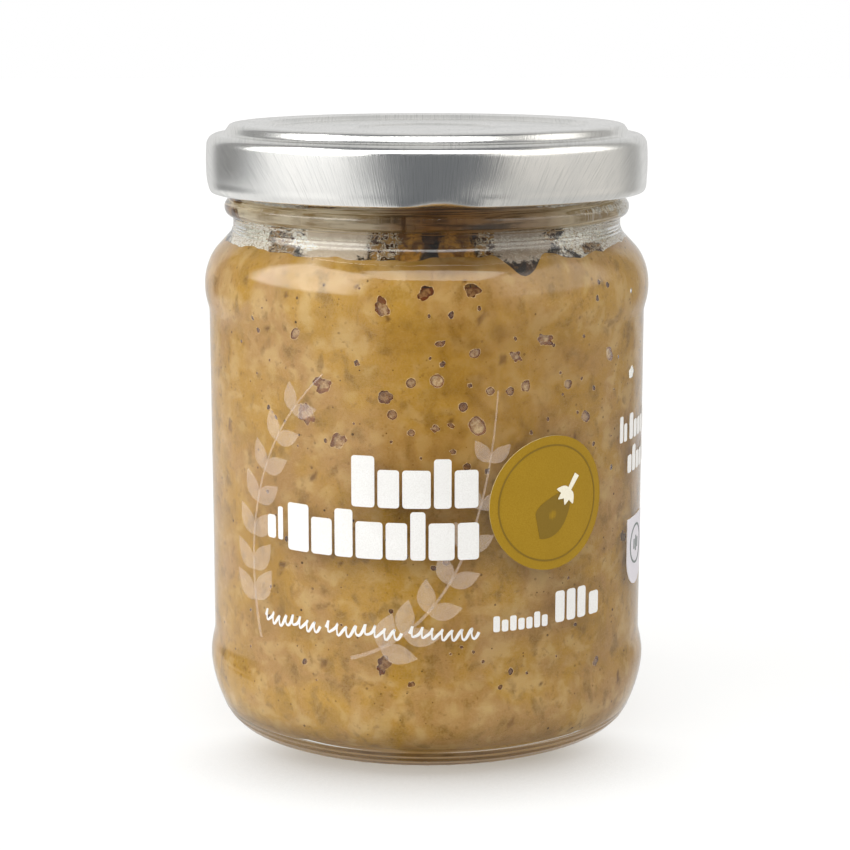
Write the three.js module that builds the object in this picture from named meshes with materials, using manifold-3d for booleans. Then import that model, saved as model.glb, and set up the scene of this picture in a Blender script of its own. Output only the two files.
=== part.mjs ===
// A shut twist-off glass jar filled with a coarse vegetable spread, with two stick-on labels.
// Millimetres, +Z up. The origin is on the ground, at the middle of the jar's bearing ring.
// The front of the jar faces -Y, and azimuths are degrees round the jar from the front towards +X.

import * as THREE from 'three';
import { mergeVertices } from 'three/addons/utils/BufferGeometryUtils.js';
import Module from 'manifold-3d';

// ---- Driving dimensions: the glass, from the ground up ----
const BODY_RADIUS = 32.8; // the straight wall that carries the labels
const BULGE_RADIUS = 33.4; // the bumper bands above and below it
const WALL = 2.5; // glass thickness of the straight wall
const BEARING_INNER = 27.9; // the flat ring that the jar stands on
const BEARING_OUTER = 29.6;
const PUNT_HEIGHT = 2.6; // the hollow under the base
const FLOOR_HEIGHT = 5.2; // top of the glass floor, in the middle
const FLOOR_EDGE_Z = 3.0; // and near its edge
const FLOOR_EDGE_RADIUS = 24;
const LOWER_BULGE_Z = 9.3;
const BODY_BOTTOM_Z = 14.2;
const BODY_TOP_Z = 62.4;
const UPPER_BULGE_Z = 66.3;
const NECK_Z = 75.3; // where the shoulder has become the neck
const NECK_RADIUS = 29.0;
const MOUTH_RADIUS = 27.0; // inside the neck
const BEAD_Z = 78.0; // the round ring below the thread
const BEAD_RADIUS = 30.27;
const FINISH_RADIUS = 29.4; // the wall that carries the thread
const RIM_Z = 89.1;
const RIM_RADIUS = 28.0; // middle of the rounded rim

// ---- The grip notches cut across the bearing ring ----
const NOTCHES = 60;
const NOTCH_WIDTH = 1.1;
const NOTCH_DEPTH = 0.45;

// ---- The four thread ridges ----
const THREADS = 4;
const THREAD_FIRST_AZIMUTH = -40; // low end of one ridge
const THREAD_LOW_Z = 80.3;
const THREAD_LENGTH = 40;
const THREAD_RISE = 3.2; // over that length, towards +azimuth
const THREAD_HALF_WIDTH = 1.0;
const THREAD_HEIGHT = 1.1; // out of the finish wall

// ---- The pressed sheet-metal lid ----
const LID_RADIUS = 32.9;
const LID_TOP_Z = 90.1;
const LID_SHEET = 0.45;
const PANEL_Z = 89.4; // the flat middle, slightly sunk
const PANEL_RADIUS = 23.2;
const BUTTON_RADIUS = 10.3; // the safety button in the middle of it
const BUTTON_DEPTH = 0.2;
const CREST_RADIUS = 28.4; // the raised ring round the panel, up to where it turns down
const LEDGE_Z = 88.6; // the narrow step round the raised ring
const LEDGE_INNER = 30.6;
const LEDGE_OUTER = 31.4;
const SKIRT_TOP_Z = 86.9;
const CURL_TOP_Z = 81.9; // the rolled bottom edge
const CURL_BOTTOM_Z = 80.15;
const CURL_INNER = 31.2;

// ---- The four lugs, where the rolled edge is pressed inwards ----
const LUGS = 4;
const LUG_FIRST_AZIMUTH = 3.6;
const LUG_HALF_SPAN = 11; // degrees
const LUG_DEPTH = 1.0;
const LUG_TOP_Z = 82.2; // the skirt starts to bend in here

// ---- The spread, with its uneven top ----
const SPREAD_CLEARANCE = 0.3; // to the glass
const SPREAD_Z = 72.3; // mean level at the glass
const SPREAD_SQUEEZE_Z = 66; // above this height the rings follow the uneven level
const SPREAD_CROWN = -2.4; // how much lower the middle is
const SPREAD_DIPS = [
  // azimuth, half span in degrees, depth in mm
  [24.6, 9, 1.9],
  [46, 10, 0.8],
  [-160, 14, 1.2],
];

// ---- The labels ----
const LABEL_CLEARANCE = 0.3; // to the glass
const LABEL_SHEET = 0.25;
const ROUND_LABEL = { azimuth: 32.2, z: 38.3, radius: 9.65 };
const SIDE_LABEL = { azimuth: 71.9, top: 32.5, bottom: 22.0, halfWidth: 4.3 };

// ---- Fineness ----
const JAR_SEGMENTS = 60;
const LID_SEGMENTS = 60;
const SPREAD_SEGMENTS = 48;
const LABEL_SEGMENTS = 28;

const radians = THREE.MathUtils.degToRad;

// Points of an outline: straight to each corner, or along a cubic curve in a number of steps.
// A curve's two handles, in by, pull it to the rounding of the real edge.
function outline(start, ...moves) {
  const points = [new THREE.Vector2(...start)];
  for (const { to, by, steps = 1 } of moves) {
    const from = points.at(-1);
    const end = new THREE.Vector2(...to);
    const curve = by
      ? new THREE.CubicBezierCurve(from, new THREE.Vector2(...by[0]), new THREE.Vector2(...by[1]), end)
      : new THREE.LineCurve(from, end);
    points.push(...curve.getPoints(steps).slice(1));
  }
  return points;
}

// The solid that an outline of (radius, height) points sweeps round the Z axis.
function revolve(points, segments) {
  return new THREE.LatheGeometry(points, segments).rotateX(Math.PI / 2);
}

// Moves every vertex of a geometry by a function of its place.
function bend(geometry, move) {
  const place = geometry.attributes.position;
  const point = new THREE.Vector3();
  for (let i = 0; i < place.count; i += 1) {
    point.fromBufferAttribute(place, i);
    move(point);
    place.setXYZ(i, point.x, point.y, point.z);
  }
  return geometry;
}

// Degrees round the jar from the front, and the way back from there to a place.
const azimuthOf = (point) => THREE.MathUtils.radToDeg(Math.atan2(point.x, -point.y));
function placeAt(point, azimuth, radius, z) {
  const turn = radians(azimuth);
  return point.set(radius * Math.sin(turn), -radius * Math.cos(turn), z);
}

// 1 in the middle of a span, falling smoothly to 0 at its ends.
function lobe(azimuth, centre, halfSpan) {
  const away = Math.abs(THREE.MathUtils.euclideanModulo(azimuth - centre + 180, 360) - 180);
  return away < halfSpan ? 0.5 + 0.5 * Math.cos((Math.PI * away) / halfSpan) : 0;
}

// ---- Joining and cutting ----

const wasm = await Module();
wasm.setup();

// Welds a geometry's shared vertices and drops the faces that have shrunk to a line.
function welded(geometry) {
  const bare = (geometry.index ? geometry.toNonIndexed() : geometry).clone();
  bare.deleteAttribute('normal');
  bare.deleteAttribute('uv');
  const merged = mergeVertices(bare, 1e-4);
  const corners = merged.index.array;
  const kept = [];
  for (let i = 0; i < corners.length; i += 3) {
    const [a, b, c] = corners.slice(i, i + 3);
    if (a !== b && b !== c && c !== a) kept.push(a, b, c);
  }
  merged.setIndex(kept);
  return merged;
}

function toSolid(geometry) {
  const { attributes, index } = welded(geometry);
  const vertProperties = new Float32Array(attributes.position.array);
  const triVerts = new Uint32Array(index.array);
  return new wasm.Manifold(new wasm.Mesh({ numProp: 3, vertProperties, triVerts }));
}

function toGeometry(solid) {
  const { vertProperties, triVerts } = solid.getMesh();
  const geometry = new THREE.BufferGeometry();
  geometry.setAttribute('position', new THREE.BufferAttribute(vertProperties, 3));
  geometry.setIndex(new THREE.BufferAttribute(triVerts, 1));
  return geometry;
}

// ---- The glass jar ----

// The inside wall from the middle of the floor up to the mouth, drawn in by a clearance.
function insideOutline(clearance) {
  const inside = BODY_RADIUS - WALL - clearance;
  const band = BULGE_RADIUS - WALL - clearance;
  const mouth = MOUTH_RADIUS - clearance;
  const middle = FLOOR_HEIGHT + clearance;
  const edge = FLOOR_EDGE_Z + clearance;
  return outline(
    [0, middle],
    { to: [FLOOR_EDGE_RADIUS, edge], by: [[12, middle], [19, edge + 0.3]], steps: 2 },
    { to: [band, LOWER_BULGE_Z], by: [[29, edge - 0.3], [band, edge + 2]], steps: 4 },
    { to: [inside, BODY_BOTTOM_Z], by: [[band, 11.6], [inside, 11.9]], steps: 2 },
    { to: [inside, BODY_TOP_Z] },
    { to: [inside + 0.35, UPPER_BULGE_Z - 0.6] },
    { to: [mouth, NECK_Z + 0.4], by: [[inside + 0.35, 71.6], [mouth, 72.4]], steps: 5 },
  );
}

function outsideOutline() {
  return outline(
    [0, PUNT_HEIGHT],
    { to: [BEARING_INNER, 0], by: [[17, PUNT_HEIGHT], [25, 1.4]], steps: 2 },
    { to: [BEARING_OUTER, 0] },
    { to: [BULGE_RADIUS, LOWER_BULGE_Z], by: [[31.3, 0.2], [BULGE_RADIUS, 5.9]], steps: 5 },
    { to: [BODY_RADIUS, BODY_BOTTOM_Z], by: [[BULGE_RADIUS, 11.6], [BODY_RADIUS, 11.9]], steps: 3 },
    { to: [BODY_RADIUS, BODY_TOP_Z] },
    { to: [BULGE_RADIUS, UPPER_BULGE_Z], by: [[BODY_RADIUS, 64.4], [BULGE_RADIUS, 63.9]], steps: 3 },
    { to: [NECK_RADIUS, NECK_Z], by: [[BULGE_RADIUS, 71.6], [NECK_RADIUS, 71.6]], steps: 7 },
    { to: [NECK_RADIUS, BEAD_Z - 1.4] },
    { to: [BEAD_RADIUS, BEAD_Z], by: [[NECK_RADIUS + 0.7, BEAD_Z - 1.3], [BEAD_RADIUS, BEAD_Z - 0.9]], steps: 2 },
    { to: [FINISH_RADIUS, BEAD_Z + 1.6], by: [[BEAD_RADIUS, BEAD_Z + 0.8], [FINISH_RADIUS, BEAD_Z + 1]], steps: 2 },
    { to: [FINISH_RADIUS, RIM_Z - 1.9] },
    { to: [RIM_RADIUS, RIM_Z], by: [[FINISH_RADIUS, RIM_Z - 0.8], [RIM_RADIUS + 0.9, RIM_Z]], steps: 2 },
    { to: [MOUTH_RADIUS, RIM_Z - 1.3], by: [[RIM_RADIUS - 0.7, RIM_Z], [MOUTH_RADIUS, RIM_Z - 0.5]], steps: 2 },
  );
}

// One thread ridge: a long round-ended bar, half sunk in the wall and bent round it as it climbs.
function threadRidge(startAzimuth) {
  const bar = new THREE.CapsuleGeometry(THREAD_HALF_WIDTH, THREAD_LENGTH, 2, 6, 8).rotateZ(Math.PI / 2);
  return bend(bar, (point) => {
    const along = point.x + THREAD_LENGTH / 2;
    const azimuth = startAzimuth + THREE.MathUtils.radToDeg(along / FINISH_RADIUS);
    const radius = FINISH_RADIUS - (point.y * THREAD_HEIGHT) / THREAD_HALF_WIDTH;
    placeAt(point, azimuth, radius, THREAD_LOW_Z + (along / THREAD_LENGTH) * THREAD_RISE + point.z);
  });
}

// One grip notch: a three-sided groove that runs outwards across the bearing ring.
function gripNotch(azimuth) {
  const groove = new THREE.Shape([
    new THREE.Vector2(-NOTCH_WIDTH / 2, -0.2),
    new THREE.Vector2(NOTCH_WIDTH / 2, -0.2),
    new THREE.Vector2(0, NOTCH_DEPTH),
  ]);
  const length = BEARING_OUTER - BEARING_INNER + 1.6;
  return new THREE.ExtrudeGeometry(groove, { depth: length, bevelEnabled: false })
    .rotateX(Math.PI / 2)
    .translate(0, -(BEARING_INNER - 0.8), 0)
    .rotateZ(radians(azimuth));
}

function glassJar() {
  const inside = insideOutline(0).reverse();
  let jar = toSolid(revolve([...outsideOutline(), ...inside], JAR_SEGMENTS));
  for (let i = 0; i < THREADS; i += 1) {
    jar = jar.add(toSolid(threadRidge(THREAD_FIRST_AZIMUTH + (i * 360) / THREADS)));
  }
  for (let i = 0; i < NOTCHES; i += 1) {
    jar = jar.subtract(toSolid(gripNotch(((i + 0.5) * 360) / NOTCHES)));
  }
  return toGeometry(jar);
}

// ---- The lid ----

function lidOutline() {
  const inner = LID_RADIUS - LID_SHEET;
  const under = LID_SHEET;
  return outline(
    [0, PANEL_Z - BUTTON_DEPTH - under],
    { to: [BUTTON_RADIUS, PANEL_Z - BUTTON_DEPTH - under] },
    { to: [BUTTON_RADIUS + 0.8, PANEL_Z - under] },
    { to: [PANEL_RADIUS, PANEL_Z - under] },
    { to: [PANEL_RADIUS + 1.2, LID_TOP_Z - 0.12 - under] },
    { to: [CREST_RADIUS, LID_TOP_Z - under] },
    { to: [LEDGE_INNER - under, LEDGE_Z - 0.3], by: [[29.3, LID_TOP_Z - under], [29.5, LEDGE_Z]], steps: 3 },
    { to: [inner, SKIRT_TOP_Z], by: [[31.6, LEDGE_Z - 0.3], [inner, LEDGE_Z - 0.8]], steps: 3 },
    { to: [inner, LUG_TOP_Z] },
    { to: [CURL_INNER + 0.3, CURL_TOP_Z] },
    { to: [CURL_INNER, CURL_BOTTOM_Z + 0.7] },
    { to: [CURL_INNER + 0.6, CURL_BOTTOM_Z] },
    { to: [LID_RADIUS - 0.55, CURL_BOTTOM_Z + 0.35] },
    { to: [LID_RADIUS - 0.1, CURL_BOTTOM_Z + 0.95] },
    { to: [LID_RADIUS, LUG_TOP_Z - 0.6] },
    { to: [LID_RADIUS, LUG_TOP_Z] },
    { to: [LID_RADIUS, SKIRT_TOP_Z] },
    { to: [LEDGE_OUTER, LEDGE_Z], by: [[LID_RADIUS, LEDGE_Z - 0.75], [32.2, LEDGE_Z - 0.1]], steps: 4 },
    { to: [LEDGE_INNER, LEDGE_Z + 0.1] },
    { to: [CREST_RADIUS, LID_TOP_Z], by: [[29.9, LEDGE_Z + 0.4], [29.9, LID_TOP_Z]], steps: 5 },
    { to: [PANEL_RADIUS + 1.2, LID_TOP_Z - 0.12] },
    { to: [PANEL_RADIUS, PANEL_Z] },
    { to: [BUTTON_RADIUS + 0.6, PANEL_Z] },
    { to: [BUTTON_RADIUS, PANEL_Z - BUTTON_DEPTH] },
    { to: [0, PANEL_Z - BUTTON_DEPTH] },
  );
}

// How far the lid's edge is pressed inwards at a place: all of it at the curl, none above the lugs.
function lugPress(azimuth, z) {
  const low = THREE.MathUtils.clamp((LUG_TOP_Z - z) / (LUG_TOP_Z - CURL_BOTTOM_Z), 0, 1);
  let press = 0;
  for (let i = 0; i < LUGS; i += 1) {
    press += lobe(azimuth, LUG_FIRST_AZIMUTH + (i * 360) / LUGS, LUG_HALF_SPAN);
  }
  return LUG_DEPTH * low * low * press;
}

function lid() {
  return bend(revolve(lidOutline(), LID_SEGMENTS), (point) => {
    const azimuth = azimuthOf(point);
    const radius = Math.hypot(point.x, point.y);
    placeAt(point, azimuth, radius - lugPress(azimuth, point.z), point.z);
  });
}

// ---- The spread ----

// Height of the spread's top where it meets the glass.
function levelAt(azimuth) {
  const turn = radians(azimuth);
  let level = SPREAD_Z + 0.25 * Math.sin(2 * turn + 1.1) + 0.2 * Math.sin(5 * turn) + 0.12 * Math.sin(11 * turn);
  for (const [centre, halfSpan, depth] of SPREAD_DIPS) {
    level -= depth * lobe(azimuth, centre, halfSpan);
  }
  return level;
}

// Lumps on the top, away from the glass.
function lumpsAt(azimuth, radius) {
  const turn = radians(azimuth);
  const across = radius / MOUTH_RADIUS;
  return (
    0.7 * Math.sin(3 * turn + 5 * across) * across +
    0.45 * Math.sin(7 * turn - 9 * across) * across +
    0.5 * Math.cos(8 * across)
  );
}

// Radius of an outline at a height on its way up.
function radiusAt(points, z) {
  const above = points.findIndex((point) => point.y >= z);
  const a = points[above - 1];
  const b = points[above];
  return THREE.MathUtils.lerp(a.x, b.x, (z - a.y) / (b.y - a.y));
}

function spread() {
  const wall = insideOutline(SPREAD_CLEARANCE);
  const rings = [68, 69.5, 71, SPREAD_Z];
  const side = rings.map((z) => new THREE.Vector2(radiusAt(wall, z), z));
  const edge = side.at(-1).x;
  const top = [0.9, 0.72, 0.5, 0.27, 0].map((share) => new THREE.Vector2(edge * share, SPREAD_Z));
  const lower = wall.filter((point) => point.y < rings[0] - 1);
  return bend(revolve([...lower, ...side, ...top], SPREAD_SEGMENTS), (point) => {
    if (point.z < SPREAD_SQUEEZE_Z) return;
    const azimuth = azimuthOf(point);
    const radius = Math.hypot(point.x, point.y);
    const level = levelAt(azimuth);
    const squeezed = (point.z - SPREAD_SQUEEZE_Z) / (SPREAD_Z - SPREAD_SQUEEZE_Z);
    const z = SPREAD_SQUEEZE_Z + squeezed * (level - SPREAD_SQUEEZE_Z);
    const atWall = radius > edge - 0.01;
    if (atWall) {
      placeAt(point, azimuth, radiusAt(wall, z), z);
      return;
    }
    const inwards = 1 - radius / edge;
    const middle = SPREAD_Z + SPREAD_CROWN + lumpsAt(azimuth, radius);
    const blended = THREE.MathUtils.lerp(z, middle, Math.min(1, inwards * 2.2));
    placeAt(point, azimuth, radius, blended);
  });
}

// ---- The labels ----

// Wraps a flat sheet round the glass: x runs round it, y up it and z out of it.
function wrap(geometry, azimuth, z) {
  return bend(geometry, (point) => {
    const radius = BODY_RADIUS + LABEL_CLEARANCE + point.z;
    const turn = THREE.MathUtils.radToDeg(point.x / BODY_RADIUS);
    placeAt(point, azimuth + turn, radius, z + point.y);
  });
}

function roundLabel() {
  const { azimuth, z, radius } = ROUND_LABEL;
  const shares = [0, 0.5, 1];
  const back = shares.map((share) => new THREE.Vector2(radius * share, 0));
  const front = back.map((point) => new THREE.Vector2(point.x, LABEL_SHEET)).reverse();
  return wrap(revolve([...back, ...front], LABEL_SEGMENTS), azimuth, z);
}

// A strip-built sheet: each column of its outline is a quad, so that it bends smoothly.
function sideLabel() {
  const { azimuth, top, bottom, halfWidth } = SIDE_LABEL;
  const middle = (top + bottom) / 2;
  const sheet = new THREE.BoxGeometry(2 * halfWidth, top - bottom, LABEL_SHEET, 10, 1, 1);
  sheet.translate(0, 0, LABEL_SHEET / 2);
  const roundBottom = bend(sheet, (point) => {
    if (point.y > 0) return;
    const across = Math.min(1, Math.abs(point.x) / halfWidth);
    point.y += halfWidth * (1 - Math.sqrt(1 - across * across));
  });
  return wrap(roundBottom, azimuth, middle);
}

// ---- The whole jar ----

const FINISHES = {
  glass_jar: { color: '#cfd6cc', roughness: 0.05, metalness: 0, transparent: true, opacity: 0.35 },
  lid: { color: '#c9c9c6', roughness: 0.3, metalness: 1 },
  eggplant_caviar: { color: '#b08a52', roughness: 0.6, metalness: 0 },
  round_label: { color: '#a98a1e', roughness: 0.55, metalness: 0 },
  side_label: { color: '#e9e6e2', roughness: 0.55, metalness: 0 },
};

const SHAPES = {
  glass_jar: glassJar,
  lid,
  eggplant_caviar: spread,
  round_label: roundLabel,
  side_label: sideLabel,
};

const jarOfSpread = new THREE.Group();
for (const [name, shape] of Object.entries(SHAPES)) {
  const mesh = new THREE.Mesh(shape(), new THREE.MeshStandardMaterial(FINISHES[name]));
  mesh.name = name;
  jarOfSpread.add(mesh);
}

export default jarOfSpread;
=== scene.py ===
# The looks of a shut twist-off glass jar of coarse vegetable spread, with two stick-on labels.
# Shapes are worked out in millimetres and stored in metres. +Z up, and the front faces -Y.
# Azimuths are degrees round the jar from the front towards +X.

import math

import bmesh
import bpy
import numpy as np
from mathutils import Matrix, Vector, noise


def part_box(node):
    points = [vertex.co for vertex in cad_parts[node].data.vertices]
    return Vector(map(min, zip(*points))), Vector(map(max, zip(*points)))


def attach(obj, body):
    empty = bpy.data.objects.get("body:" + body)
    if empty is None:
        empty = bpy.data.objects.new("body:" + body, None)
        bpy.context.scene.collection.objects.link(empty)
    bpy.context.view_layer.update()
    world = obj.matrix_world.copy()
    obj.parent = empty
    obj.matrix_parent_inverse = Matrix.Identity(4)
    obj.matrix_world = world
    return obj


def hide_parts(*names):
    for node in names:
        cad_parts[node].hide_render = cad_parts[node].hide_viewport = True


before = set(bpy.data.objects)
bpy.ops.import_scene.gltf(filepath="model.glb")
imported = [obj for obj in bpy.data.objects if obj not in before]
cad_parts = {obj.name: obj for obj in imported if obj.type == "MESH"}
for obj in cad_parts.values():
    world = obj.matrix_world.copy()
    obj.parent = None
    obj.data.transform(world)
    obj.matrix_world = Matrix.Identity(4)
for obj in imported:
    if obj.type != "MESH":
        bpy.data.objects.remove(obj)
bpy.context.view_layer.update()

MM = 0.001
glass_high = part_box("glass_jar")[1] / MM
lid_low, lid_high = (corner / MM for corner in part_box("lid"))

# ---- The glass, from the ground up ----
BULGE_RADIUS = glass_high.x  # the bumper bands
BODY_RADIUS = BULGE_RADIUS - 0.6  # the straight wall that carries the labels
WALL = 2.5
BEARING_INNER = 27.9  # the flat ring that the jar stands on
BEARING_OUTER = 29.6
PUNT_HEIGHT = 2.6  # the hollow under the base
FLOOR_HEIGHT = 5.2  # top of the glass floor, in the middle
FLOOR_EDGE_Z = 3.0  # and near its edge
FLOOR_EDGE_RADIUS = 24
LOWER_BULGE_Z = 9.3
BODY_BOTTOM_Z = 14.2
BODY_TOP_Z = 62.4
UPPER_BULGE_Z = 66.3
SLOPE_LOW = (31.3, 72.0)  # the shoulder's straight stretch
SLOPE_HIGH = (29.7, 73.7)
NECK_Z = 75.2
NECK_RADIUS = 29.0
MOUTH_RADIUS = 27.0
BEAD_Z = 78.0
BEAD_RADIUS = 30.27
FINISH_RADIUS = 29.4
RIM_Z = glass_high.z
RIM_RADIUS = 28.0
SEAM_Z = 74.6  # the faint mould line round the neck
SEAM_HEIGHT = 0.07
RING_Z = 76.3  # and the one just under the bead
RING_HEIGHT = 0.10
LINE_HALF_WIDTH = 0.16
WALL_WAVE = 0.012  # how wavy the wall is
HEEL_RIPPLE = 0.09  # fine waves in the glass near the ground
HEEL_RIPPLE_TOP = 3.2
NOTCHES = 60  # in the ring that the jar stands on
NOTCH_WIDTH = 1.1
NOTCH_DEPTH = 0.45
THREADS = 4
THREAD_FIRST_AZIMUTH = -40
THREAD_LOW_Z = 80.3
THREAD_LENGTH = 40
THREAD_RISE = 3.2
THREAD_HALF_WIDTH = 1.0
THREAD_HEIGHT = 1.1

# ---- The pressed lid ----
LID_RADIUS = lid_high.x
LID_TOP_Z = lid_high.z
LID_SHEET = 0.45
PANEL_Z = LID_TOP_Z - 0.7
PANEL_RADIUS = 23.2
BUTTON_RADIUS = 10.3
BUTTON_DEPTH = 0.2
CREST_RADIUS = 28.4
LEDGE_Z = LID_TOP_Z - 1.5
LEDGE_INNER = 30.6
LEDGE_OUTER = 31.4
SKIRT_TOP_Z = LID_TOP_Z - 3.2
CURL_BOTTOM_Z = lid_low.z
CURL_TOP_Z = CURL_BOTTOM_Z + 1.75
CURL_INNER = 31.2
LUGS = 4
LUG_FIRST_AZIMUTH = 3.6
LUG_HALF_SPAN = 11
LUG_DEPTH = 1.0
LUG_TOP_Z = 82.2
LID_BARREL = 0.10  # how much the skirt swells in the middle

# ---- The spread ----
REACH = 0.05  # how far it reaches into the glass, so that no air gap shows
SPREAD_Z = 72.3  # where it meets the glass
SPREAD_SQUEEZE_Z = 66  # from here up the rows follow the uneven upper edge
SPREAD_CROWN = -2.4  # how far the top lies above that edge in the middle
SPREAD_ROW = 0.45
TOP_RINGS = 36
SPREAD_DIPS = [(26.6, 8.5, 2.5), (46, 10, 0.8), (-160, 14, 1.2)]  # azimuth, half span, depth

SHADE_SPAN = (7, 36)  # painted shade, darker paste under the neck: azimuth and half span
SHADE_FROM_Z = 70.6
OCHRE_SPAN = (13, 42)  # yellower paste in the middle of the front
OCHRE_HEIGHTS = (40, 68)

LARGE_BUBBLE = 0.85  # wider ones are shallow, narrower ones deep
SHALLOW, DEEP = 0.20, 0.40  # their depth as a share of their width
BUBBLE_POWER = 0.55  # below 1 for steep walls and a flat bottom
OTHER_BUBBLES = 46  # round the sides and back
TINY_BUBBLES = 230
TINY_BUBBLE_ROOM = 1.6  # how far they keep from all others
BARE_FROM, BARE_TO = -100, -58  # no random bubbles between these azimuths
FLECKS = 150

# Air bubbles against the glass: azimuth, height, width, tall, how ragged, and how pale inside.
BUBBLES = [
    (-11.2, 66.5, 1.9, 2.4, 0.45, 0.45), (-0.4, 68.5, 2.3, 1.6, 0.4, 0.1),
    (11.5, 68.6, 2.3, 1.8, 0.3, 0.15), (-36, 62.2, 1.3, 2.1, 0.1, 0.55), (-27.6, 55.2, 2.8, 1.9, 0.6, 0.6),
    (-32.5, 50.7, 2.5, 3, 0.55, 0.85), (-23.4, 47.2, 2, 2.4, 0.5, 0.75), (-10.7, 54, 2, 1.8, 0.35, 0.2),
    (-4, 56, 1.4, 1.3, 0.1, 0.45), (-8.9, 51.5, 1.4, 1.4, 0.15, 0.55), (2.6, 56.3, 1.9, 1.8, 0.08, 0.95),
    (16.4, 54.7, 1.2, 1.1, 0.2, 0.6), (21.8, 54.5, 1.1, 1.2, 0.25, 0.2), (26.3, 55.1, 1.3, 1.6, 0.3, 0.7),
    (39.4, 54.7, 1.4, 1.4, 0.2, 0.55), (9.3, 52.6, 1.3, 1.3, 0.12, 0.1), (13, 49.8, 2.2, 2.8, 0.15, 0.85),
    (-4, 49, 1, 1, 0.12, 0.5), (10.4, 44.1, 1, 1.1, 0.15, 0.2), (12.3, 60.1, 1.6, 1.3, 0.15, 0.45),
    (3.4, 61.5, 1.4, 0.9, 0.4, 0.05), (23.2, 59.4, 1.8, 1.4, 0.5, 0.5), (31.8, 61.4, 2.4, 1.7, 0.6, 0.6),
    (46, 49.6, 1.5, 1.9, 0.2, 0.35), (6.7, 46.3, 0.9, 0.7, 0.3, 0.05), (6.2, 50, 1, 0.6, 0.3, 0.2),
    (2.2, 49.6, 1, 0.9, 0.5, 0.4), (56, 58, 1.5, 2.3, 0.25, 0.8), (-11.5, 15.1, 1.7, 2.4, 0.6, 0.25),
    (51.4, 12.6, 1.1, 1.9, 0.4, 0.2), (5, 30.6, 1, 1.1, 0.3, 0.15), (-4, 12.6, 1, 0.9, 0.4, 0.2),
    (-34, 14.5, 0.8, 1.1, 0.3, 0.2),
]

# What clings inside the neck at the front: the kind, azimuth, height, half span and half height.
CLINGING = [
    ("crinkle", -60, 74.1, 25, 2.6), ("stain", -48, 74.7, 6, 1.2), ("stain", -45, 72.7, 6, 1.2),
    ("haze", -27.5, 74.4, 12, 2.9), ("stain", -12.5, 74.4, 4.4, 2.6), ("smear", -5.0, 74.0, 3.8, 3.6),
    ("smear", 8.5, 72.8, 5.5, 4.0), ("stain", 16.5, 74.6, 3, 2.4), ("haze", 28, 74.6, 11, 2.9),
    ("stain", 38.5, 75.6, 2.6, 1.1), ("crinkle", 63, 74.3, 22, 3.1), ("stain", 54, 72.4, 5, 0.9),
    ("crinkle", -50, 80.2, 13, 1.4), ("crinkle", 42, 80.4, 9, 1.2), ("smear", -33, 80.9, 9, 1.0),
]

OTHER_PATCHES = 34  # round the sides and back
FILM_BOTTOM = SPREAD_Z - 3.4  # of the skin that carries it all
FILM_ROWS = 60
FILM_OUTSIDE = 0.04  # how far its two faces lie inside the spread's outline
FILM_INSIDE = 0.14
SMEAR_THICKNESS = 0.35

# Painted light on that skin round the jar, darkest at the front: azimuths, and values from 0 to 1.
FILM_AZIMUTHS = (-180, -110, -70, -30, -16, -9, 0, 10, 25, 36, 46, 75, 110, 180)
FILM_PAINTED_LIGHT = (0.3, 0.6, 1.0, 0.95, 0.75, 0.2, 0.0, 0.05, 0.2, 0.4, 0.85, 1.0, 0.6, 0.3)

# ---- The labels ----
PAPER = 0.12  # thickness
ROUND_LABEL = {"azimuth": 32.2, "z": 38.3, "radius": 9.65}
SIDE_LABEL = {"azimuth": 71.9, "top": 32.5, "bottom": 22.0, "half_width": 4.3}
INK = 0.04
SUNK = 0.01  # how far print and labels reach into what carries them

# ---- The print: generic shapes in the places and sizes of the printed lines ----
# Words, as rows of blocks: azimuths of both ends, height, gap, and the blocks' heights and widths.
TITLE = [
    (-18.7, 12.6, 38.6, 0.45, [7.3, 5.4, 5.4, 7.0, 5.4], [1.1, 1.0, 1.3, 0.8, 1.1]),
    (-43.9, -38.6, 32.4, 0.45, [3.4, 4.8], [1.4, 0.8]),
    (-36.9, 12.8, 31.2, 0.45, [6.9, 5.3, 6.9, 5.3, 5.3, 6.9, 5.3, 5.3],
     [1.2, 1.1, 0.9, 1.3, 1.0, 0.7, 1.2, 1.0]),
]
WEIGHT = [
    (16.6, 31.6, 20.4, 0.3, [2.3, 1.7, 2.2, 1.7, 1.7, 2.3, 1.7]),
    (34.0, 44.2, 20.6, 0.45, [4.6, 4.6, 4.6]),
    (45.6, 49.2, 20.6, 0.45, [3.4]),
]
SIDE_WORDS = [
    (58.8, 63.2, 44.6, 0.35, [3.9, 2.7]),
    (65.0, 92.0, 44.6, 0.35, [3.9, 2.7, 2.7, 2.7, 3.7, 2.7, 2.7, 2.7]),
    (64.0, 92.0, 39.6, 0.35, [2.7, 3.9, 2.7, 2.7, 3.7, 2.7, 2.7, 2.7]),
]
BLOCK_CORNER = 0.45
SCRIPT = [(-45.5, -27.8, 8), (-26.2, -6.5, 8), (-4.6, 12.6, 7)]  # azimuths of both ends, and waves
SCRIPT_Z = 20.6
SCRIPT_HEIGHT = 1.5
PEN = 0.22  # half the width of the stroke
SPRIGS = [  # three points of the stem's curve, and the longest leaf
    ([(-27, 17), (-33, 40), (-15, 57)], 6.6),
    ([(-11, 16.5), (8, 22), (10, 55)], 6.0),
]
LEAF_PAIRS = 7

# ---- The camera ----
CAMERA_PLACE = (-0.26, -325.74, 107.09)
CAMERA_TILT = 79.057  # degrees up from looking straight down
PICTURE_WIDTH = 850
FOCAL_PIXELS = 2166.0
SENSOR_WIDTH = 36.0

FLOOR_RADIUS = 3000
FLOOR_DROP = 0.1  # how far the table lies below the jar
FLOOR_SIDES = 64
SHADE_REACH = 28  # how far round the jar the painted shadow on the table reaches

SEGMENTS = 300  # round the jar, the lid and the spread
FILM_SEGMENTS = 480


# ---- Shapes ----

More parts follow.
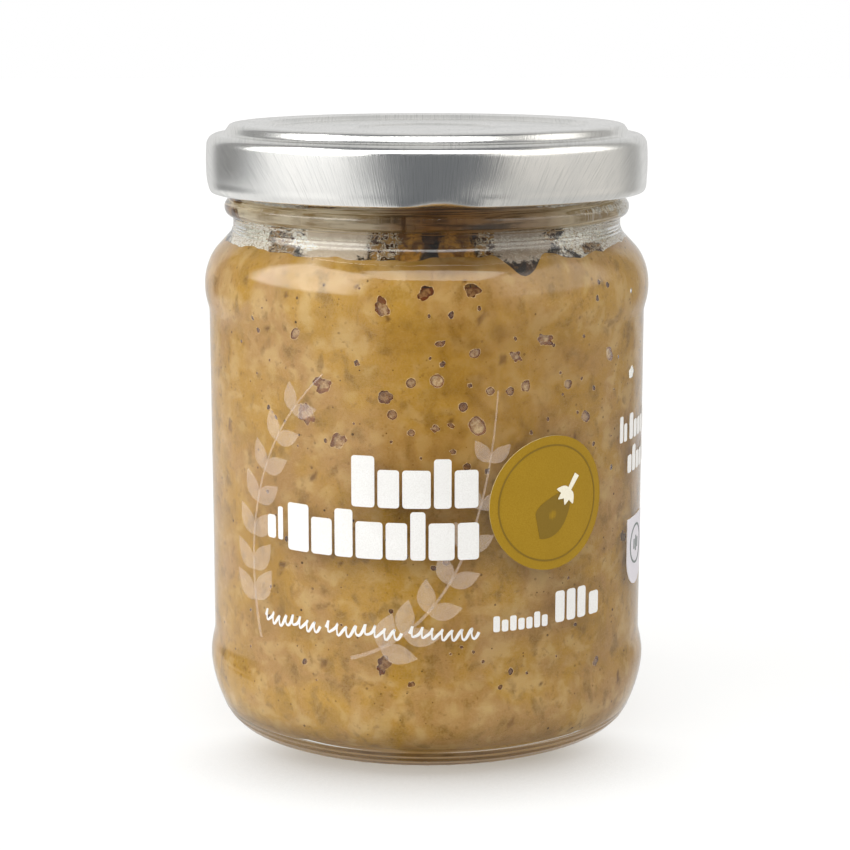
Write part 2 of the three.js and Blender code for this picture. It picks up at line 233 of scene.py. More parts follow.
def outline(start, *moves, spacing):
    """Points of an outline in (radius, height): straight to each corner, or along a cubic curve."""
    points = [np.array(start, float)]
    for end, *handles in moves:
        a = points[-1]
        d = np.array(end, float)
        handles = handles or (a + (d - a) / 3, a + (d - a) * 2 / 3)
        b, c = (np.array(handle, float) for handle in handles)
        length = np.linalg.norm(b - a) + np.linalg.norm(c - b) + np.linalg.norm(d - c)
        for t in np.linspace(0, 1, max(2, math.ceil(length / spacing) + 1))[1:]:
            s = 1 - t
            points.append(s ** 3 * a + 3 * s * s * t * b + 3 * s * t * t * c + t ** 3 * d)
    return np.array(points)


def columns(*values):
    """Points from an array for each of their coordinates."""
    return np.stack(values, axis=-1)


def place(azimuth, radius, z):
    """Points from degrees round the jar, distance from its axis and height."""
    turn = np.radians(azimuth)
    return columns(radius * np.sin(turn), -radius * np.cos(turn), z + 0 * turn)


def polar(points):
    """The azimuth, radius and height of points."""
    azimuth = np.degrees(np.arctan2(points[:, 0], -points[:, 1]))
    return azimuth, np.hypot(points[:, 0], points[:, 1]), points[:, 2]


def apart(azimuth, centre):
    """Degrees from a centre to azimuths, from -180 to 180."""
    return (azimuth - centre + 180) % 360 - 180


def lobe(azimuth, centre, half_span):
    """1 in the middle of a span, falling smoothly to 0 at its ends."""
    away = np.minimum(np.abs(apart(azimuth, centre)) / half_span, 1)
    return 0.5 + 0.5 * np.cos(np.pi * away)


def window(value, low, high, soft):
    """1 between two limits, falling smoothly to 0 past them."""
    rise = np.clip((value - low) / soft + 0.5, 0, 1)
    fall = np.clip((high - value) / soft + 0.5, 0, 1)
    return rise * rise * (3 - 2 * rise) * fall * fall * (3 - 2 * fall)


def revolve(profile, segments, shape):
    """A closed mesh swept round Z by an outline, with the azimuth and outline row of each point."""
    azimuths = np.arange(segments) * 360.0 / segments
    points, rows, meta = [], [], []
    count = 0
    closed = profile[0][0] > 0
    for k, (radius, z) in enumerate(profile):
        around = azimuths if radius > 1e-6 else azimuths[:1]
        azimuth, r, height = around, radius + 0 * around, z + 0 * around
        if radius > 1e-6:
            azimuth, r, height = shape(around, r, height)
        points.append(place(azimuth, r, height))
        meta.append(columns(around, k + 0 * around))
        rows.append(count + (np.arange(segments) if len(around) > 1 else np.zeros(segments, int)))
        count += len(around)
    if closed:
        rows.append(rows[0])
    faces = []
    for low, high in zip(rows, rows[1:]):
        for a, b, c, d in zip(low, np.roll(low, -1), np.roll(high, -1), high):
            corners = [a, b, c, d] if a != b and c != d else [a, b, c] if a != b else [a, c, d]
            faces.append([int(i) for i in corners])
    return np.concatenate(points), faces, np.concatenate(meta)


def make(name, points, faces, materials, indices=None, sharp=40):
    """A smooth-shaded mesh object that rides with the jar."""
    mesh = bpy.data.meshes.new(name)
    mesh.from_pydata((np.asarray(points) * MM).tolist(), [], faces)
    for material in materials:
        mesh.materials.append(material)
    if indices is not None:
        mesh.polygons.foreach_set("material_index", indices)
    piece = bpy.data.objects.new(name, mesh)
    bpy.context.scene.collection.objects.link(piece)
    smooth(mesh, sharp)
    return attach(piece, "root")


def smooth(mesh, sharp):
    """Smooth shading, but for edges sharper than an angle in degrees."""
    mesh.polygons.foreach_set("use_smooth", [True] * len(mesh.polygons))
    mesh.set_sharp_from_angle(angle=math.radians(sharp))
    mesh.update()


def points_of(mesh):
    """A mesh's points in millimetres."""
    flat = np.zeros(len(mesh.vertices) * 3, np.float32)
    mesh.vertices.foreach_get("co", flat)
    return flat.reshape(-1, 3).astype(float) / MM


def store(mesh, name, values):
    """Keeps a number for each point, for the materials to read."""
    kind = "FLOAT_VECTOR" if np.ndim(values) == 2 else "FLOAT"
    field = "vector" if kind == "FLOAT_VECTOR" else "value"
    data = mesh.attributes.new(name, kind, "POINT").data
    data.foreach_set(field, np.asarray(values, np.float32).ravel())


# ---- Materials ----

def colour(code):
    """A linear colour from a #rrggbb code."""
    parts = [int(code[i:i + 2], 16) / 255 for i in (1, 3, 5)]
    linear = [p / 12.92 if p <= 0.04045 else ((p + 0.055) / 1.055) ** 2.4 for p in parts]
    return (*linear, 1.0)


class Graph:
    """Short calls for building a node tree."""

    def __init__(self, tree):
        self.tree = tree
        tree.nodes.clear()

    def add(self, kind, inputs=(), **settings):
        node = self.tree.nodes.new(kind)
        for key, value in settings.items():
            setattr(node, key, value)
        for key, value in dict(inputs).items():
            self.feed(node.inputs[key], value)
        return node

    def feed(self, socket, value):
        """Links a socket to another, or sets its number or #rrggbb colour."""
        if isinstance(value, bpy.types.NodeSocket):
            self.tree.links.new(value, socket)
        else:
            socket.default_value = colour(value) if isinstance(value, str) else value

    def maths(self, operation, a, b=0.0):
        return self.add("ShaderNodeMath", {0: a, 1: b}, operation=operation).outputs[0]

    def times(self, a, b):
        return self.maths("MULTIPLY", a, b)

    def ramp(self, value, low, high, to_low=0.0, to_high=1.0):
        inputs = {"Value": value, "From Min": low, "From Max": high, "To Min": to_low, "To Max": to_high}
        return self.add("ShaderNodeMapRange", inputs, interpolation_type="SMOOTHSTEP").outputs[0]

    def mix(self, share, a, b, blend="MIX"):
        node = self.add("ShaderNodeMix", data_type="RGBA", blend_type=blend)
        for socket, value in ((node.inputs[0], share), (node.inputs[6], a), (node.inputs[7], b)):
            self.feed(socket, value)
        return node.outputs[2]

    def mapped(self, source, scale, turn):
        inputs = {"Vector": source, "Scale": scale, "Rotation": turn}
        return self.add("ShaderNodeMapping", inputs).outputs[0]

    def where(self, stretch=(1, 1, 1), turn=(0, 0, 0)):
        """The object's own place in millimetres, stretched and turned."""
        source = self.add("ShaderNodeTexCoord").outputs["Object"]
        return self.mapped(source, tuple(s / MM for s in stretch), turn)

    def value(self, name):
        return self.add("ShaderNodeAttribute", attribute_name=name).outputs["Fac"]

    def vector(self, name, scale, turn=0.0):
        source = self.add("ShaderNodeAttribute", attribute_name=name).outputs["Vector"]
        return self.mapped(source, scale, (0, 0, turn))

    def noise(self, vector, size, detail=3.0, roughness=0.5, distortion=0.0):
        """Noise with features of that size in millimetres."""
        inputs = {"Vector": vector, "Scale": 1 / size, "Detail": detail, "Roughness": roughness,
                  "Distortion": distortion}
        return self.add("ShaderNodeTexNoise", inputs).outputs[0]

    def cells(self, vector, size, feature="F1"):
        return self.add("ShaderNodeTexVoronoi", {"Vector": vector, "Scale": 1 / size}, feature=feature)

    def bump(self, height, distance, strength):
        inputs = {"Height": height, "Distance": distance * MM, "Strength": strength}
        return self.add("ShaderNodeBump", inputs).outputs[0]

    def surface(self, inputs):
        return self.add("ShaderNodeBsdfPrincipled", inputs).outputs[0]

    def clear(self, tint="#ffffff"):
        return self.add("ShaderNodeBsdfTransparent", {"Color": tint}).outputs[0]

    def over(self, share, under, top):
        """A share of one shader over another."""
        return self.add("ShaderNodeMixShader", {0: share, 1: under, 2: top}).outputs[0]

    def output(self, shader, kind="ShaderNodeOutputMaterial"):
        self.feed(self.add(kind).inputs["Surface"], shader)


def material(name):
    made = bpy.data.materials.new(name)
    made.use_nodes = True
    return made, Graph(made.node_tree)


def glass_material():
    """Clear flint glass, faintly grey-green, slightly wavy, that lets the lamps' light through."""
    made, g = material("glass")
    waves = g.noise(g.where((1, 1, 0.4)), 9, detail=1)
    fine = g.noise(g.where(), 0.6, detail=4)
    clear = g.surface({
        "Base Color": "#f9fbf7",
        "Roughness": g.ramp(fine, 0.55, 0.8, 0.0, 0.05),
        "IOR": 1.52,
        "Transmission Weight": 1.0,
        "Normal": g.bump(waves, 0.08, 0.35),
    })
    is_shadow = g.add("ShaderNodeLightPath").outputs["Is Shadow Ray"]
    g.output(g.over(is_shadow, clear, g.clear("#f2f5f0")))
    return made


def lid_material():
    """Satin tinplate, brushed one way before it was pressed, so the lines fan out down the skirt."""
    made, g = material("tinplate")
    lines = g.noise(g.vector("blank", (6.5, 0.14, 1)), 1, roughness=0.7)
    across = g.noise(g.vector("blank", (4.5, 0.22, 1), turn=0.16), 1, detail=2, roughness=0.6)
    grain = g.noise(g.where(), 0.25, detail=2)
    wear = g.noise(g.where(), 7, detail=4)
    height = g.maths("ADD", g.maths("ADD", lines, across), g.times(grain, 0.5))
    base = g.mix(g.ramp(wear, 0.35, 0.75), "#f2f1ed", "#e8e8e5")
    g.output(g.surface({
        "Base Color": g.mix(g.ramp(lines, 0.50, 0.70, 0.0, 0.45), base, "#b6b6b3"),
        "Metallic": 1.0,
        "Roughness": g.ramp(g.times(g.maths("ADD", lines, wear), 0.5), 0.3, 0.7, 0.17, 0.25),
        "Normal": g.bump(height, 0.020, 0.55),
    }))
    return made


def spread_material():
    """Moist coarse puree: ochre and tan, mottled, with brown flecks, dark specks and fibres."""
    made, g = material("spread")
    broad = g.noise(g.where(), 11, distortion=0.5)
    patches = g.noise(g.where((1, 1, 1.25)), 4.4, roughness=0.45, distortion=0.3)
    stains = g.noise(g.where((1, 1, 0.8), (0.4, 0.2, 0)), 2.4, roughness=0.45, distortion=0.3)
    small = g.noise(g.where(), 1.0, detail=4, roughness=0.6, distortion=0.2)
    fibres = g.noise(g.where((1, 1, 3.2), (0.5, 0.9, 0)), 1.6, roughness=0.6, distortion=1.8)
    grain = g.noise(g.where(), 0.28, detail=2)
    yellow = g.mix(g.ramp(stains, 0.40, 0.62), "#ac8030", "#94680f")
    layers = [
        (g.ramp(patches, 0.50, 0.68, 0.0, 0.60), "#d0af78"),
        (g.ramp(patches, 0.49, 0.33, 0.0, 0.50), "#9e7a36"),
        (g.ramp(stains, 0.55, 0.72, 0.0, 0.62), "#80602a"),
        (g.ramp(stains, 0.45, 0.30, 0.0, 0.42), "#cdae74"),
        (g.ramp(small, 0.56, 0.72, 0.0, 0.50), "#7e5a28"),
        (g.ramp(fibres, 0.60, 0.74, 0.0, 0.30), "#d6b680"),
        (g.ramp(grain, 0.35, 0.70, 0.0, 0.20), "#d0ab74"),
        (speck_mask(g, 1.9, 0.14, 0.42), "#482810"),
        (speck_mask(g, 0.9, 0.17, 0.20), "#482810"),
        (g.times(g.value("ochre"), 0.62), yellow),
        # painted shade under the neck
        (g.times(g.value("shade"), 0.72), "#553810"),
        (g.ramp(g.value("fleck"), 0.10, 0.80, 0.0, 0.74), "#66401a"),
        (g.ramp(g.value("rim"), 0.72, 0.95, 0.0, 0.70), "#d9bd92"),
    ]
    base = g.mix(g.ramp(broad, 0.40, 0.60), "#b98e38", "#b38a52")
    for share, tint in layers:
        base = g.mix(share, base, tint)
    height = g.maths("ADD", small, g.times(grain, 0.5))
    g.output(g.surface({
        "Base Color": base,
        "Roughness": g.ramp(small, 0.3, 0.7, 0.50, 0.68),
        "Specular IOR Level": 0.05,
        "Normal": g.bump(height, 0.06, 0.6),
    }))
    return made


def speck_mask(g, size, reach, share):
    """Round dark specks in some of the cells of a loose pattern."""
    cells = g.cells(g.where(), size)
    chosen = g.add("ShaderNodeSeparateColor", {0: cells.outputs["Color"]})
    dot = g.ramp(cells.outputs["Distance"], reach, reach * 0.5)
    picked = g.ramp(chosen.outputs[0], 1 - share, 1 - share + 0.05)
    return g.times(dot, g.times(picked, g.ramp(chosen.outputs[1], 0, 1, 0.35, 0.95)))


def pit_material():
    """The inside of an air bubble: a wall darkened with painted shade and a tan to brown bottom."""
    made, g = material("spread_pits")
    small = g.noise(g.where(), 0.6, detail=4, roughness=0.6)
    pale = g.mix(g.ramp(small, 0.40, 0.60), "#b98a58", "#dfbf92")
    brown = g.mix(g.ramp(small, 0.40, 0.60), "#6e3e16", "#94602c")
    bottom = g.mix(g.value("tone"), brown, pale)
    # painted shade on the steep walls, a dark outline round each bubble
    wall = g.ramp(g.value("depth"), 0.62, 0.88, 0.95, 0.0)
    g.output(g.surface({
        "Base Color": g.mix(wall, bottom, g.mix(g.value("tone"), "#5a2608", "#8f5218")),
        "Roughness": 0.6,
        "Specular IOR Level": 0.0,
        "Normal": g.bump(small, 0.10, 0.5),
    }))
    return made


def cracks(g, size, wander):
    """How far it is to the nearest line of a wandering pattern of cells."""
    source = g.where()
    drift = g.add("ShaderNodeTexNoise", {"Vector": source, "Scale": 1 / size, "Detail": 2.0})
    inputs = {0: drift.outputs["Color"], 1: (wander, wander, wander), 2: source}
    moved = g.add("ShaderNodeVectorMath", inputs, operation="MULTIPLY_ADD").outputs[0]
    return g.cells(moved, size, "DISTANCE_TO_EDGE").outputs["Distance"]


def film_material():
    """What clings inside the neck: smears, hazy and crinkled places, over a dark sheet of painted shade;
    with painted light, a painted silvery sheen and painted glints.
    """
    made, g = material("neck_film")
    lumps = g.noise(g.where(), 1.8, detail=5, roughness=0.65, distortion=0.6)
    fine = g.noise(g.where(), 0.5, roughness=0.6, distortion=0.5)
    foil = g.noise(g.where((1, 1, 1.2)), 1.0, detail=4, roughness=0.7, distortion=0.8)
    streaks = g.noise(g.where((0.12, 0.12, 3.0)), 1.0, detail=4, roughness=0.6)
    crease = g.maths("ABSOLUTE", g.maths("SUBTRACT", foil, 0.5))
    # painted light: how much light comes through the neck at each azimuth
    pale = g.value("pale")
    shake = g.times(g.maths("SUBTRACT", lumps, 0.5), 1.1)
    shake = g.maths("ADD", shake, g.times(g.maths("SUBTRACT", fine, 0.5), 0.5))
    lumpy = g.bump(lumps, 0.2, 0.5)
    folded = g.bump(foil, 0.5, 1.0)
    blister = cracks(g, 0.8, 1.3)

    def kept(name):
        return g.ramp(g.maths("ADD", g.value(name), shake), 0.40, 0.60)

    def coat(base, rough, normal, metallic=0.0):
        return g.surface({
            "Base Color": base,
            "Metallic": metallic,
            "Roughness": rough,
            "Specular IOR Level": 0.2,
            "Normal": normal,
        })

    # painted shade: the dark sheet stands in for the shaded inside of the neck
    shadow_brown = g.mix(g.ramp(lumps, 0.40, 0.65), "#120a04", "#3c2510")
    dark = coat(g.mix(g.ramp(fine, 0.58, 0.72, 0.0, 0.6), shadow_brown, "#6b4c26"), 0.4, lumpy)
    cloudy = g.mix(pale, "#85776b", "#d6c5b1")
    cloudy = g.mix(g.ramp(lumps, 0.35, 0.65, 0.0, 0.35), cloudy, g.mix(pale, "#6f6053", "#b59f86"))
    # painted glints along the creases
    cloudy = g.mix(g.ramp(crease, 0.02, 0.0, 0.0, 0.6), cloudy, "#efe6d6")
    haze = coat(cloudy, 0.5, g.bump(fine, 0.03, 0.4))
    pasty = g.mix(g.ramp(lumps, 0.38, 0.60), "#a07028", "#5c3b12")
    smear = coat(g.mix(g.ramp(fine, 0.55, 0.7, 0.0, 0.5), pasty, "#4c3212"), 0.5, lumpy)
    creased = g.mix(g.ramp(lumps, 0.45, 0.60), "#9c7c4c", "#dccbab")
    # crinkled film with a painted silvery sheen: the near-white cells stand in for reflection off air gaps
    crinkle_painted_sheen = g.mix(g.ramp(blister, 0.0, 0.09), creased, "#fffbf5")
    crinkle_painted_sheen = coat(crinkle_painted_sheen, 0.35, g.bump(g.ramp(blister, 0.0, 0.3), 0.25, 0.7), 0.15)
    glinting = g.mix(g.ramp(foil, 0.44, 0.60), "#472c12", "#a07a45")
    # painted glints along the creases of the stain
    glinting = g.mix(g.ramp(crease, 0.03, 0.0), glinting, "#f2e9d6")
    stain = coat(glinting, 0.2, folded, 0.4)
    shadowed = g.mix(pale, "#361f09", "#a98a58")
    lit = g.mix(pale, "#96652a", "#f0e0c2")
    band = g.mix(g.ramp(streaks, 0.36, 0.62), shadowed, lit)
    banded = coat(g.mix(g.ramp(fine, 0.6, 0.72, 0.0, 0.5), band, lit), 0.4, g.bump(streaks, 0.15, 0.5))
    clear = g.clear()
    layers = [
        (g.value("painted_shade"), dark),
        (kept("haze"), haze),
        (g.value("bead"), banded),
        (kept("smear"), smear),
        (kept("crinkle"), g.over(0.92, clear, crinkle_painted_sheen)),
        (kept("stain"), stain),
    ]
    shown = clear
    for share, layer in layers:
        shown = g.over(share, shown, layer)
    g.output(shown)
    return made


def paper_material(name, front, worn, gloss):
    """Printed paper: an even field of colour with a fine grain and slightly uneven ink."""
    made, g = material(name)
    grain = g.noise(g.where(), 0.18, roughness=0.7)
    uneven = g.noise(g.where(), 4)
    base = g.mix(g.ramp(grain, 0.35, 0.7), front, worn)
    g.output(g.surface({
        "Base Color": g.mix(g.ramp(uneven, 0.3, 0.7, 0.0, 0.35), base, worn),
        "Roughness": g.ramp(grain, 0.3, 0.7, gloss, gloss + 0.12),
        "Specular IOR Level": 0.2,
        "Normal": g.bump(grain, 0.02, 0.35),
    }))
    return made


def floor_material():
    """A white table that glows evenly, with a painted shadow close to what stands on it, most of all in
    front.
    """
    made, g = material("floor")
    tone = g.noise(g.where(), 60, detail=2)
    white = g.mix(tone, "#fdfdfc", "#fbfbfa")
    near = g.add("ShaderNodeAmbientOcclusion", {"Distance": SHADE_REACH * MM}, samples=8)
    # painted shadow near the jar, stronger in front
    shade = g.ramp(near.outputs["AO"], 0.97, 0.45)
    way = g.add("ShaderNodeVectorMath", {0: g.where()}, operation="NORMALIZE").outputs[0]
    front = g.times(g.add("ShaderNodeSeparateXYZ", {0: way}).outputs[1], -1.0)
    shade = g.times(shade, g.ramp(front, 0.40, 0.90, 0.10, 1.0))
    glow = g.add("ShaderNodeEmission", {"Color": g.mix(shade, white, "#a29a90"), "Strength": 0.87})
    cloth = g.surface({
        "Base Color": g.mix(tone, "#6e6e6d", "#6c6c6b"),
        "Roughness": 0.8,
        "Specular IOR Level": 0.1,
    })
    g.output(g.add("ShaderNodeAddShader", {0: glow.outputs[0], 1: cloth}).outputs[0])
    return made


# ---- The glass jar ----

def inside_outline(clearance, spacing):
    """The inside wall from the middle of the floor up to the mouth, drawn in by a clearance."""
    inside = BODY_RADIUS - WALL - clearance
    band = BULGE_RADIUS - WALL - clearance
    mouth = MOUTH_RADIUS - clearance
    middle = FLOOR_HEIGHT + clearance
    edge = FLOOR_EDGE_Z + clearance
    return outline(
        (0, middle),
        ((FLOOR_EDGE_RADIUS, edge), (12, middle), (19, edge + 0.3)),
        ((band, LOWER_BULGE_Z), (30.0, edge - 0.5), (band, edge + 1.2)),
        ((inside, BODY_BOTTOM_Z), (band, 11.6), (inside, 11.9)),
        ((inside, BODY_TOP_Z),),
        ((inside + 0.35, UPPER_BULGE_Z - 0.6),),
        ((mouth, NECK_Z + 0.4), (inside + 0.35, 71.6), (mouth, 72.4)),
        spacing=spacing,
    )


def outside_outline():
    base = outline(
        (0, PUNT_HEIGHT),
        ((BEARING_INNER, 0), (17, PUNT_HEIGHT), (25, 1.4)),
        spacing=1.5,
    )
    heel = outline(
        (BEARING_INNER, 0),
        ((BEARING_OUTER, 0),),
        ((BULGE_RADIUS, LOWER_BULGE_Z), (31.3, 0.2), (BULGE_RADIUS, 5.9)),
        ((BODY_RADIUS, BODY_BOTTOM_Z), (BULGE_RADIUS, 11.6), (BODY_RADIUS, 11.9)),
        spacing=0.32,
    )
    wall = outline((BODY_RADIUS, BODY_BOTTOM_Z), ((BODY_RADIUS, BODY_TOP_Z),), spacing=2.2)
    upper = outline(
        (BODY_RADIUS, BODY_TOP_Z),
        ((BULGE_RADIUS, UPPER_BULGE_Z), (BODY_RADIUS + 0.1, 63.6), (BULGE_RADIUS, 64.2)),
        (SLOPE_LOW, (BULGE_RADIUS, 68.9), (SLOPE_LOW[0] + 1.03, SLOPE_LOW[1] - 1.09)),
        (SLOPE_HIGH,),
        ((NECK_RADIUS, NECK_Z),
         (SLOPE_HIGH[0] - 0.40, SLOPE_HIGH[1] + 0.45), (NECK_RADIUS, NECK_Z - 0.5)),
        ((NECK_RADIUS, RING_Z - LINE_HALF_WIDTH),),
        ((NECK_RADIUS + RING_HEIGHT, RING_Z),),
        ((NECK_RADIUS, RING_Z + LINE_HALF_WIDTH),),
        ((BEAD_RADIUS, BEAD_Z), (NECK_RADIUS + 0.9, BEAD_Z - 1.35), (BEAD_RADIUS, BEAD_Z - 0.9)),
        ((FINISH_RADIUS, BEAD_Z + 1.6), (BEAD_RADIUS, BEAD_Z + 0.8), (FINISH_RADIUS, BEAD_Z + 1)),
        ((FINISH_RADIUS, RIM_Z - 1.9),),
        ((RIM_RADIUS, RIM_Z), (FINISH_RADIUS, RIM_Z - 0.8), (RIM_RADIUS + 0.9, RIM_Z)),
        ((MOUTH_RADIUS, RIM_Z - 1.3), (RIM_RADIUS - 0.7, RIM_Z), (MOUTH_RADIUS, RIM_Z - 0.5)),
        spacing=0.36,
    )
    return np.concatenate([base, heel[1:], wall[1:], upper[1:]])


def thread_bump(azimuth, z):
    """How far the thread ridges stand out of the wall at a place."""
    bump = 0 * azimuth
    for i in range(THREADS):
        start = THREAD_FIRST_AZIMUTH + i * 360 / THREADS
        middle = math.degrees(THREAD_LENGTH / 2 / FINISH_RADIUS)
        along = np.radians(apart(azimuth, start + middle)) * FINISH_RADIUS + THREAD_LENGTH / 2
        past = along - np.clip(along, 0, THREAD_LENGTH)
        above = z - THREAD_LOW_Z - along / THREAD_LENGTH * THREAD_RISE
        away = np.hypot(past, above) / THREAD_HALF_WIDTH
        bump = np.maximum(bump, THREAD_HEIGHT * np.sqrt(np.maximum(0, 1 - away ** 2)))
    return bump


def glass_shape(azimuth, radius, z):
    """Adds the thread, the mould line, the grip notches and the wall's slight waviness."""
    turn = np.radians(azimuth)
    outside = radius > MOUTH_RADIUS + 1.5
    if outside[0] and z[0] > BEAD_Z + 1.5:
        radius = radius + thread_bump(azimuth, z)
    if outside[0] and abs(z[0] - SEAM_Z) < 1:
        radius = radius + SEAM_HEIGHT * np.exp(-((z - SEAM_Z) / LINE_HALF_WIDTH) ** 2)
    if outside[0] and 0.05 < z[0] < HEEL_RIPPLE_TOP:
        fade = math.sin(math.pi * z[0] / HEEL_RIPPLE_TOP)
        radius = radius + HEEL_RIPPLE * fade * np.sin(z * 7.0 + 0.5 * np.sin(2 * turn))
    if outside[0] and BODY_BOTTOM_Z - 4 < z[0] < UPPER_BULGE_Z + 4:
        wave = np.sin(3 * turn + z / 8) + np.sin(5 * turn - z / 6 + 2) + np.sin(8 * turn + z / 4)
        radius = radius - WALL_WAVE * (3 + wave)
    if BEARING_INNER - 0.8 < radius[0] < BEARING_OUTER + 0.8 and z[0] < NOTCH_DEPTH:
        spacing = 360 / NOTCHES
        across = np.radians(azimuth % spacing - spacing / 2) * BEARING_INNER
        z = np.maximum(z, NOTCH_DEPTH * np.clip(1 - np.abs(across) / (NOTCH_WIDTH / 2), 0, 1))
    return azimuth, radius, z


def glass_jar():
    inside = inside_outline(0, spacing=1.25)[::-1]
    profile = np.concatenate([outside_outline(), inside])
    points, faces, _ = revolve(profile, SEGMENTS, glass_shape)
    piece = make("jar_glass", points, faces, [glass_material()], sharp=60)
    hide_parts("glass_jar")


# ---- The lid ----

def lid_outline():
    """The sheet's outline: outwards along the underside, round the rolled edge and back over the top."""
    inner = LID_RADIUS - LID_SHEET
    under = LID_SHEET
    button_z = PANEL_Z - BUTTON_DEPTH
    rise = PANEL_RADIUS + 1.2
    underside = outline(
        (0, button_z - under),
        ((BUTTON_RADIUS, button_z - under),),
        ((BUTTON_RADIUS + 0.8, PANEL_Z - under),),
        ((PANEL_RADIUS, PANEL_Z - under),),
        ((rise, LID_TOP_Z - 0.12 - under),),
        ((CREST_RADIUS, LID_TOP_Z - under),),
        ((LEDGE_INNER - under, LEDGE_Z - 0.3), (29.3, LID_TOP_Z - under), (29.5, LEDGE_Z)),
        ((inner, SKIRT_TOP_Z), (31.6, LEDGE_Z - 0.3), (inner, LEDGE_Z - 0.8)),
        ((inner, LUG_TOP_Z),),
        ((CURL_INNER + 0.3, CURL_TOP_Z),),
        spacing=0.9,
    )
    curl_middle = (CURL_BOTTOM_Z + CURL_TOP_Z) / 2
    edge = outline(
        tuple(underside[-1]),
        ((CURL_INNER, curl_middle), (CURL_INNER, CURL_TOP_Z), (CURL_INNER, CURL_TOP_Z)),
        ((LID_RADIUS - 0.75, CURL_BOTTOM_Z),
         (CURL_INNER, CURL_BOTTOM_Z + 0.1), (CURL_INNER + 0.4, CURL_BOTTOM_Z)),
        ((LID_RADIUS, LUG_TOP_Z - 0.6),
         (LID_RADIUS - 0.2, CURL_BOTTOM_Z), (LID_RADIUS, CURL_BOTTOM_Z + 0.6)),
        spacing=0.22,
    )[1:]
    top = outline(
        tuple(edge[-1]),
        ((LID_RADIUS, SKIRT_TOP_Z),),
        ((LEDGE_OUTER, LEDGE_Z), (LID_RADIUS, LEDGE_Z - 0.75), (32.2, LEDGE_Z - 0.1)),
        ((LEDGE_INNER, LEDGE_Z + 0.1),),
        ((30.05, LEDGE_Z + 0.36), (30.35, LEDGE_Z + 0.12), (30.2, LEDGE_Z + 0.15)),
        ((29.45, LID_TOP_Z - 0.28),),
        ((CREST_RADIUS, LID_TOP_Z), (29.2, LID_TOP_Z - 0.05), (28.9, LID_TOP_Z)),
        ((rise, LID_TOP_Z - 0.12),),
        ((PANEL_RADIUS - 0.4, PANEL_Z),
         (rise - 0.3, LID_TOP_Z - 0.3), (PANEL_RADIUS + 0.3, PANEL_Z + 0.04)),
        ((BUTTON_RADIUS + 0.6, PANEL_Z),),
        ((BUTTON_RADIUS, button_z), (BUTTON_RADIUS + 0.4, PANEL_Z), (BUTTON_RADIUS + 0.2, button_z)),
        ((0, button_z),),
        spacing=0.3,
    )[1:]
    return np.concatenate([underside, edge, top])


def lug_press(azimuth, z):
    """How far the lid's edge is pressed inwards at a place."""
    low = np.clip((LUG_TOP_Z - z) / (LUG_TOP_Z - CURL_BOTTOM_Z), 0, 1)
    press = sum(lobe(azimuth, LUG_FIRST_AZIMUTH + i * 360 / LUGS, LUG_HALF_SPAN) for i in range(LUGS))
    return LUG_DEPTH * low * low * press


def lid():
    profile = lid_outline()
    middle, half = (SKIRT_TOP_Z + CURL_TOP_Z) / 2, (SKIRT_TOP_Z - CURL_TOP_Z) / 2

    def shape(azimuth, radius, z):
        outer = np.clip((radius - LEDGE_INNER) / (LID_RADIUS - LEDGE_INNER), 0, 1)
        barrel = LID_BARREL * outer * np.minimum(1, np.abs(z - middle) / half) ** 2
        return azimuth, radius - barrel - lug_press(azimuth, z), z

    points, faces, meta = revolve(profile, SEGMENTS, shape)
    steps = np.linalg.norm(np.diff(profile[::-1], axis=0), axis=1)
    from_middle = np.concatenate([[0], np.cumsum(steps)])[::-1]  # along the sheet from the top's middle
    piece = make("lid_shell", points, faces, [lid_material()], sharp=50)
    blank = place(meta[:, 0], from_middle[meta[:, 1].astype(int)], 0 * meta[:, 0])
    store(piece.data, "blank", blank)
    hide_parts("lid")


# ---- The spread ----

def wall_radius(z):
    """Radius of the spread's side at a height."""
    wall = inside_outline(-REACH, spacing=0.3)
    side = wall[wall[:, 0] > FLOOR_EDGE_RADIUS + 1]
    return np.interp(z, side[:, 1], side[:, 0])


def level_at(azimuth):
    """Height of the spread's top where it meets the glass."""
    turn = np.radians(azimuth)
    level = SPREAD_Z + 0.25 * np.sin(2 * turn + 1.1) + 0.2 * np.sin(5 * turn) + 0.12 * np.sin(11 * turn)
    for centre, half_span, depth in SPREAD_DIPS:
        level = level - depth * lobe(azimuth, centre, half_span)
    return level + 0.12 * np.sin(23 * turn) + 0.07 * np.sin(41 * turn + 1) + 0.05 * np.sin(67 * turn)


def lumps_at(azimuth, radius):
    """Lumps on the top, away from the glass."""
    turn = np.radians(azimuth)
    across = radius / MOUTH_RADIUS
    large = (
        0.7 * np.sin(3 * turn + 5 * across) * across
        + 0.45 * np.sin(7 * turn - 9 * across) * across
        + 0.5 * np.cos(8 * across)
    )
    x, y = radius * np.sin(turn), radius * np.cos(turn)
    return large + 0.25 * np.sin(1.7 * x + 2 * np.sin(0.8 * y)) * np.sin(1.5 * y + 1.3 * np.sin(0.9 * x))


